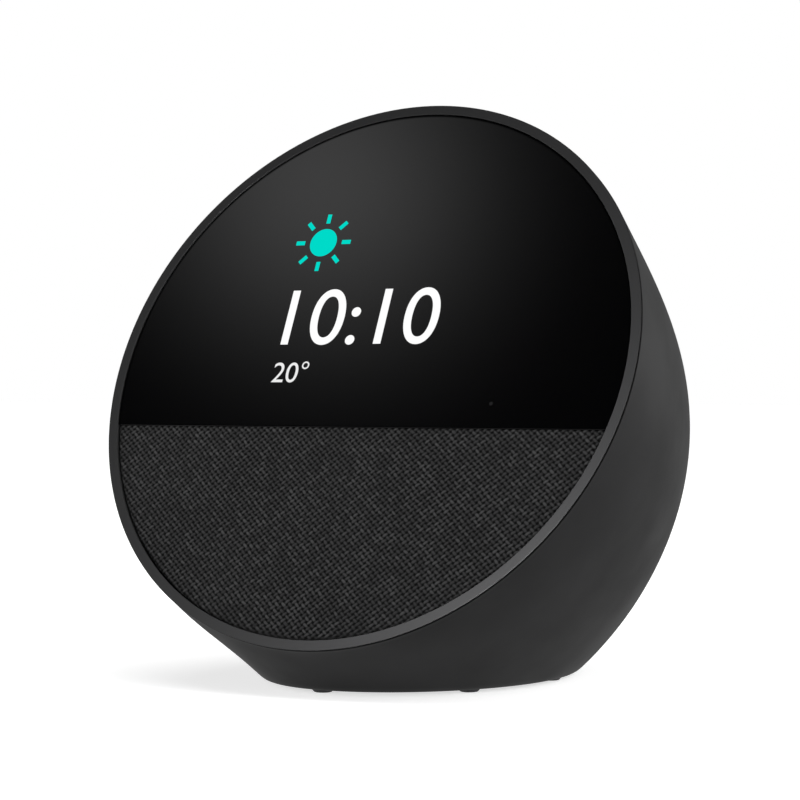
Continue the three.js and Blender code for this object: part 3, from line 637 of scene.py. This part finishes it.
NUMBERS_LEFT = -20.0
TIME_SIZE = 17.0
TIME_BASE = 5.0
TEMPERATURE_SIZE = 6.0
TEMPERATURE_BASE = -3.0
SENSOR_PLACE = (28.9, -7.3)
SENSOR_RADIUS = 0.38


def text_piece(name, words, size, base, material):
    """Flat lettering in Blender's own typeface, as a mesh on the glass."""
    curve = bpy.data.curves.new(name, "FONT")
    curve.body = words
    curve.size = size
    holder = bpy.data.objects.new(name + "_curve", curve)
    bpy.context.scene.collection.objects.link(holder)
    bpy.context.view_layer.update()
    mesh = bpy.data.meshes.new_from_object(holder.evaluated_get(bpy.context.evaluated_depsgraph_get()))
    points = np.array([vertex.co for vertex in mesh.vertices])
    faces = [list(polygon.vertices) for polygon in mesh.polygons]
    bpy.data.objects.remove(holder)
    points[:, 0] += NUMBERS_LEFT - points[:, 0].min()
    points[:, 1] += base
    points[:, 2] = LIT_HEIGHT
    make_piece(name, points, faces, material, slot="display_glass", matrix=FACE)


def build_sensor_window():
    window = moulded_plastic(
        "sensor_window", (0.004, 0.004, 0.0042), (0.005, 0.005, 0.0052), 0.4, 0.1, 0.004,
    )
    flat_shape("light_sensor_window", circle(*SENSOR_PLACE, SENSOR_RADIUS, 32), window)


build_sensor_window()
text_piece("time_figures", "10:10", TIME_SIZE, TIME_BASE, WHITE_GLOW)
text_piece("temperature_figures", "20°", TEMPERATURE_SIZE, TEMPERATURE_BASE, SOFT_GLOW)


# ---- keys on the top rear ----
def surface_fit():
    """A smooth fit of the shell's height over the keys' plane."""
    s, phi = np.meshgrid(np.linspace(0.08, 0.34, 40), np.radians(np.linspace(55, 125, 60)))
    world = shell_points(s, phi).reshape(-1, 3)
    turn = np.array(KEYS.inverted())
    local = world @ turn[:3, :3].T + turn[:3, 3]
    near = (abs(local[:, 0]) < 26) & (abs(local[:, 1]) < 10)
    x, y, z = local[near].T
    terms = [(i, j) for i in range(0, 7, 2) for j in range(5) if i + j <= 6]
    solved = np.linalg.lstsq(np.stack([x ** i * y ** j for i, j in terms], 1), z, rcond=None)[0]
    return lambda x, y: sum(value * x ** i * y ** j for value, (i, j) in zip(solved, terms))


surface_height = surface_fit()


def key_cap(x, length, width):
    """Rings of a key cap: rounded shoulders and a top that follows the shell with a faint dish."""
    bottom, edge, dish_depth = -6, 0.45, 0.12

    def ring(inset, drop):
        outline = stadium(length - 2 * inset, width - 2 * inset, x)
        return with_height(outline, surface_height(outline[:, 0], outline[:, 1]) + KEY_PROUD - drop)

    rings = [with_height(stadium(length, width, x), bottom)]
    for t in np.linspace(0, 1, 6):
        rings.append(ring(edge * (1 - math.cos(t * math.pi / 2)), edge * (1 - math.sin(t * math.pi / 2))))
    for inset in (0.9, 1.5, 2.1, 2.7, width / 2 - 0.02):
        rings.append(ring(inset, dish_depth * (1 - (1 - inset / (width / 2)) ** 2)))
    return rings


def key_sign(name, strokes, x, body):
    """A printed sign on a key: each stroke is a bar between two points of a given thickness."""
    for i, (x0, y0, x1, y1, thick) in enumerate(strokes):
        length = math.hypot(x1 - x0, y1 - y0) + thick
        angle = math.atan2(y1 - y0, x1 - x0)
        bar = stadium(length, thick)
        turn = np.array([[math.cos(angle), -math.sin(angle)], [math.sin(angle), math.cos(angle)]])
        outline = bar @ turn.T + np.array([x + (x0 + x1) / 2, (y0 + y1) / 2])
        top = surface_height(outline[:, 0], outline[:, 1]) + KEY_PROUD - 0.1
        rings = [with_height(outline, top - 0.25), with_height(outline, top + 0.04)]
        points, faces = loft(rings, cap_first=True, cap_last=True)
        make_piece(f"{name}_{i + 1}", points, faces, PRINT, body=body, slot="shell_plastic", matrix=KEYS)


def build_keys():
    """Three caps, each with its sign; the signs' strokes are in key millimetres."""
    minus = [(-1.3, 0, 1.3, 0, 0.42)]
    plus = minus + [(0, -1.3, 0, 1.3, 0.42)]
    capsule, stem, foot = (0, 0.1, 0, 1.1, 0.95), (0, -1.25, 0, -0.95, 0.3), (-0.5, -1.4, 0.5, -1.4, 0.28)
    cradle = [
        (-0.85, 0.15, -0.6, -0.6, 0.26), (-0.6, -0.6, 0.6, -0.6, 0.26), (0.6, -0.6, 0.85, 0.15, 0.26),
    ]
    cross_bar = (-1.5, -1.5, 1.5, 1.5, 0.3)
    microphone = [capsule, stem, foot, *cradle, cross_bar]
    signs = {"volume_down": minus, "mute": microphone, "volume_up": plus}
    for (name, strokes), x in zip(signs.items(), (-KEY_PITCH, 0, KEY_PITCH)):
        points, faces = loft(key_cap(x, KEY_LENGTH, KEY_WIDTH), cap_first=True, cap_last=True)
        make_piece(
            f"{name}_cap", points, faces, SHELL, body=f"{name}_key", slot="shell_plastic",
            replaces=[f"{name}_button"], matrix=KEYS, sharp=60,
        )
        key_sign(f"{name}_sign", strokes, x, f"{name}_key")


build_keys()


# ---- base: plate and foot ring ----
def build_base():
    """The cover under the base, the foot's band and the nubs below it."""
    phi = np.linspace(0, 2 * np.pi, 192, endpoint=False)
    low, high = BASE_Z + 1.4, BASE_Z + 2.9
    plate = [base_ring(1.5, high, phi), base_ring(1.5, low, phi), base_ring(7.0, low, phi)]
    plate += [base_ring(inset, low + 0.3, phi) for inset in (7.3, 14.0, 20.0)]
    make_piece(
        "base_cover", *loft(plate, cap_first=True, cap_last=True), INNER, slot="inner_plastic",
        replaces=["base_plate"], sharp=40,
    )
    bottom, top = BASE_Z - 0.05, BASE_Z + 1.1
    ring = [base_ring(1.6, top, phi), base_ring(1.6, bottom + 0.3, phi), base_ring(1.7, bottom + 0.08, phi)]
    ring += [base_ring(2.0, bottom, phi), base_ring(5.0, bottom, phi), base_ring(5.3, bottom + 0.08, phi)]
    ring += [base_ring(5.4, bottom + 0.3, phi), base_ring(5.4, top, phi)]
    make_piece("foot_band", *loft(ring, close=True), RUBBER, slot="rubber", replaces=["foot_ring"], sharp=60)
    nub_top = BASE_Z + 0.1
    nub = [
        (0.02, 0.0), (1.45, 0.0), (1.65, 0.06), (1.8, 0.2), (2.05, 0.5), (2.15, nub_top), (0.02, nub_top),
    ]
    for i, degrees in enumerate(NUB_ANGLES):
        angle = math.radians(degrees)
        x = (BASE_HALF_WIDTH - NUB_INSET) * math.cos(angle)
        y = (BASE_HALF_DEPTH - NUB_INSET) * math.sin(angle)
        points, faces = lathe(nub, 48, x, BASE_CENTRE_Y + y, closed=False)
        make_piece(f"foot_nub_{i + 1}", points, faces, RUBBER, slot="rubber", sharp=40)


build_base()


# ---- power jack ----
def build_jack():
    """A boxy jack with a lined bore and a pin, just behind the pocket's floor."""
    turn = Matrix.Translation((0, 0, INLET_Z)) @ Matrix.Rotation(-math.pi / 2, 4, "X")
    angle = np.linspace(0, 2 * np.pi, 96, endpoint=False)
    half_width, half_height, bore_end, back = 4.7, 4.6, 26, 24
    square = np.maximum(abs(np.cos(angle)) / half_width, abs(np.sin(angle)) / half_height)
    box = np.stack([np.cos(angle) / square, np.sin(angle) / square], 1)
    bore = np.stack([np.cos(angle), np.sin(angle)], 1) * (PLUG_BORE + 0.15)
    hole = bore * 0.5
    rings = [with_height(bore, bore_end), with_height(bore, JACK_FACE_Y)]
    rings += [with_height(box * 0.96, JACK_FACE_Y), with_height(box, JACK_FACE_Y - 0.2)]
    rings += [with_height(box, back), with_height(hole, back), with_height(hole, bore_end)]
    make_piece(
        "jack_body", *loft(rings, close=True), INNER, slot="inner_plastic", replaces=["power_jack"],
        matrix=turn,
    )
    sleeve_outer, sleeve_low, sleeve_high = PLUG_BORE + 0.12, 27, 36.4
    sleeve = [
        (PLUG_BORE, sleeve_low), (sleeve_outer, sleeve_low), (sleeve_outer, sleeve_high),
        (PLUG_BORE, sleeve_high),
    ]
    make_piece("jack_sleeve", *lathe(sleeve, 64), STEEL, slot="steel", matrix=turn)
    pin = [(0.02, 25.5), (0.6, 25.5), (0.65, 34.9), (0.5, 35.5), (0.02, 35.7)]
    make_piece("jack_pin", *lathe(pin, 32, closed=False), STEEL, slot="steel", matrix=turn)


build_jack()


# ---- finishes of the CAD pieces that stay as they are ----
FINISHES = {
    "inner_plastic": INNER, "board": BOARD, "sensor_chip": CHIP, "steel": STEEL, "screw_steel": STEEL,
    "aluminium": ALUMINIUM, "coil_copper": COPPER, "ferrite": FERRITE, "cone_paper": PAPER, "rubber": RUBBER,
    "flex_film": FLEX, "diffuser": DIFFUSER, "spider_cloth": CLOTH_AMBER, "display_glass": GLASS,
    "shell_plastic": SHELL, "ring_plastic": RING, "cover_glass": GLASS, "speaker_fabric": FABRIC,
}


def finish_cad_nodes():
    """Gives every CAD node the material of its slot."""
    for row in frame["record"]["subparts"]:
        node = frame["nodes"][row["node"]]
        node.data.materials.clear()
        node.data.materials.append(FINISHES[row["material_slot"]])


finish_cad_nodes()


# ---- studio: floor, sky, lights and camera ----
# The pane mirrors the ceiling towards the camera, so the ceiling is dark but for one soft card.
CARD_WAY = Vector((-0.504, -0.555, 0.662)).normalized()
CARD_DISTANCE = 1.5
CARD_MIDDLE = (0.119, 0.099)
CARD_SPREAD = 0.078
CARD_POWER = 0.95
FLOOR_HALF = 6.0
FLOOR_PALE = 0.65
FLOOR_GLOW = 0.64
BACK_TONE = 0.3
BACK_FLAG = [(-0.66, 1.35, 0.0), (0.35, 1.46, 0.0), (0.35, 1.46, 0.9), (-0.66, 1.35, 0.9)]
FLOOR_TONE = 0.46
FLOOR_FLAG_HALF = 1.5
FLOOR_FLAG_HEIGHT = 0.0006
SKY_WHITE = 1.0
SKY_CEILING = 0.0
SIDE_LAMPS = {  # place, size and power
    "side_right": ((1.2, -0.5, 0.3), 1.0, 7.0),
    "side_back": ((1.0, 0.2, 0.75), 0.9, 11),
    "side_left": ((-1.2, 0.0, 0.06), 0.8, 17),
}
OVERHEAD = 1.5
RING_LAMP_PLACE = (54, -64, 60)  # millimetres in the frame of the face
RING_LAMP_SIZE = 0.03
RING_LAMP_POWER = 0.37
LENS_MM = 119.6
SENSOR_MM = 36
CAMERA_PLACE = (258.2, -455.7, 57.2)
CAMERA_TARGET = (-0.08, -13.55, 53.93)


def square_corners(half, height=0.0):
    return [(-half, -half, height), (half, -half, height), (half, half, height), (-half, half, height)]


def stage_sheet(name, corners, material, hidden=True, matrix=None):
    """A four-cornered studio sheet; a hidden one is met by mirrored rays alone."""
    mesh = bpy.data.meshes.new(name)
    mesh.from_pydata(corners, [], [(0, 1, 2, 3)])
    mesh.materials.append(material)
    sheet = bpy.data.objects.new(name, mesh)
    bpy.context.scene.collection.objects.link(sheet)
    if matrix is not None:
        sheet.matrix_world = matrix
    if hidden:
        sheet.visible_camera = False
        sheet.visible_diffuse = False
        sheet.visible_shadow = False


def build_floor():
    """A plain pale floor, with a glow that keeps its shadows faint."""
    pale = new_material(
        "floor_pale", Base_Color=(FLOOR_PALE, FLOOR_PALE, FLOOR_PALE, 1), Roughness=0.8,
        Specular_IOR_Level=0.0, Emission_Color=(1, 1, 1, 1), Emission_Strength=FLOOR_GLOW,
    )[0]
    stage_sheet("floor", square_corners(FLOOR_HALF), pale, hidden=False)


def card_material():
    """A glow that falls off from the card's middle as a bell curve."""
    material = bpy.data.materials.new("card_glow")
    material.use_nodes = True
    nodes, links = material.node_tree.nodes, material.node_tree.links
    nodes.clear()
    place = nodes.new("ShaderNodeTexCoord")
    shift = nodes.new("ShaderNodeVectorMath")
    shift.operation = "SUBTRACT"
    shift.inputs[1].default_value = (*CARD_MIDDLE, 0)
    square = nodes.new("ShaderNodeVectorMath")
    square.operation = "DOT_PRODUCT"
    fall = nodes.new("ShaderNodeMath")
    fall.operation = "MULTIPLY"
    fall.inputs[1].default_value = -0.5 / CARD_SPREAD ** 2
    bell = nodes.new("ShaderNodeMath")
    bell.operation = "EXPONENT"
    power = nodes.new("ShaderNodeMath")
    power.operation = "MULTIPLY"
    power.inputs[1].default_value = CARD_POWER
    emission = nodes.new("ShaderNodeEmission")
    output = nodes.new("ShaderNodeOutputMaterial")
    links.new(place.outputs["Object"], shift.inputs[0])
    links.new(shift.outputs["Vector"], square.inputs[0])
    links.new(shift.outputs["Vector"], square.inputs[1])
    links.new(square.outputs["Value"], fall.inputs[0])
    links.new(fall.outputs["Value"], bell.inputs[0])
    links.new(bell.outputs["Value"], power.inputs[0])
    links.new(power.outputs["Value"], emission.inputs["Strength"])
    links.new(emission.outputs["Emission"], output.inputs["Surface"])
    return material


def build_card():
    """A card that glows softly from its middle, hung where the pane mirrors it."""
    across = CARD_WAY.cross(Vector((0, 0, 1))).normalized()
    turn = Matrix((across, across.cross(CARD_WAY), CARD_WAY)).transposed().to_4x4()
    place = Matrix.Translation(FACE_CENTRE * MM + CARD_WAY * CARD_DISTANCE)
    stage_sheet("soft_card", square_corners(CARD_SPREAD * 6), card_material(), matrix=place @ turn)


def build_flag(name, corners, tone):
    """A grey card that tones down the white room in the object's edges."""
    grey = new_material(
        name, Base_Color=(0, 0, 0, 1), Specular_IOR_Level=0.0, Roughness=1.0,
        Emission_Color=(1, 1, 1, 1), Emission_Strength=tone,
    )[0]
    stage_sheet(name, corners, grey)


def add_light(name, place, size, power, target=(0, 0, 0.05)):
    """A square lamp that faces its target."""
    light = bpy.data.lights.new(name, "AREA")
    light.shape = "SQUARE"
    light.size = size
    light.energy = power
    lamp = bpy.data.objects.new(name, light)
    lamp.location = place
    lamp.rotation_euler = (Vector(target) - Vector(place)).to_track_quat("-Z", "Y").to_euler()
    lamp.visible_camera = False
    bpy.context.scene.collection.objects.link(lamp)
    return lamp


def build_side_lamps():
    """Soft lamps that light everything but the pane, so that it stays black from every side."""
    pane_aside = bpy.data.collections.new("pane_aside")
    pane_aside.objects.link(bpy.data.objects["glass_pane"])
    pane_aside.collection_objects[0].light_linking.link_state = "EXCLUDE"
    for name, (place, size, power) in SIDE_LAMPS.items():
        add_light(name, place, size, power).light_linking.receiver_collection = pane_aside


def build_overhead():
    """Soft light from straight above, even over the whole floor."""
    light = bpy.data.lights.new("overhead", "SUN")
    light.angle = math.radians(50)
    light.energy = OVERHEAD
    lamp = bpy.data.objects.new("overhead", light)
    lamp.visible_glossy = False
    bpy.context.scene.collection.objects.link(lamp)


def build_ring_lamp():
    """A small lamp near the ring's lower right, for the ring alone."""
    place = FACE @ Vector(RING_LAMP_PLACE)
    target = FACE @ Vector((0, 0, 0)) * MM
    lamp = add_light("ring_lamp", place * MM, RING_LAMP_SIZE, RING_LAMP_POWER, target)
    lit = bpy.data.collections.new("ring_only")
    lit.objects.link(bpy.data.objects["trim_ring"])
    lamp.light_linking.receiver_collection = lit


def build_sky():
    """White all round at eye level, falling to a dark ceiling."""
    world = bpy.data.worlds.new("studio")
    bpy.context.scene.world = world
    world.use_nodes = True
    nodes, links = world.node_tree.nodes, world.node_tree.links
    place = nodes.new("ShaderNodeTexCoord")
    parts = nodes.new("ShaderNodeSeparateXYZ")
    ramp = nodes.new("ShaderNodeMapRange")
    ramp.interpolation_type = "SMOOTHSTEP"
    ramp.inputs["From Min"].default_value = 0.25
    ramp.inputs["From Max"].default_value = 0.5
    ramp.inputs["To Min"].default_value = SKY_WHITE
    ramp.inputs["To Max"].default_value = SKY_CEILING
    links.new(place.outputs["Generated"], parts.inputs["Vector"])
    links.new(parts.outputs["Z"], ramp.inputs["Value"])
    links.new(ramp.outputs["Result"], nodes["Background"].inputs["Strength"])
    nodes["Background"].inputs["Color"].default_value = (1, 1, 1, 1)


def build_camera():
    data = bpy.data.cameras.new("camera")
    data.lens = LENS_MM
    data.sensor_width = SENSOR_MM
    camera = bpy.data.objects.new("camera", data)
    camera.location = Vector(CAMERA_PLACE) * MM
    target = Vector(CAMERA_TARGET) * MM
    camera.rotation_euler = (target - camera.location).to_track_quat("-Z", "Y").to_euler()
    bpy.context.scene.collection.objects.link(camera)
    bpy.context.scene.camera = camera


build_floor()
build_card()
build_flag("back_flag", BACK_FLAG, BACK_TONE)
build_flag("floor_flag", square_corners(FLOOR_FLAG_HALF, FLOOR_FLAG_HEIGHT), FLOOR_TONE)
build_sky()
build_camera()
build_side_lamps()
build_overhead()
build_ring_lamp()
bpy.context.scene.view_settings.view_transform = "Standard"
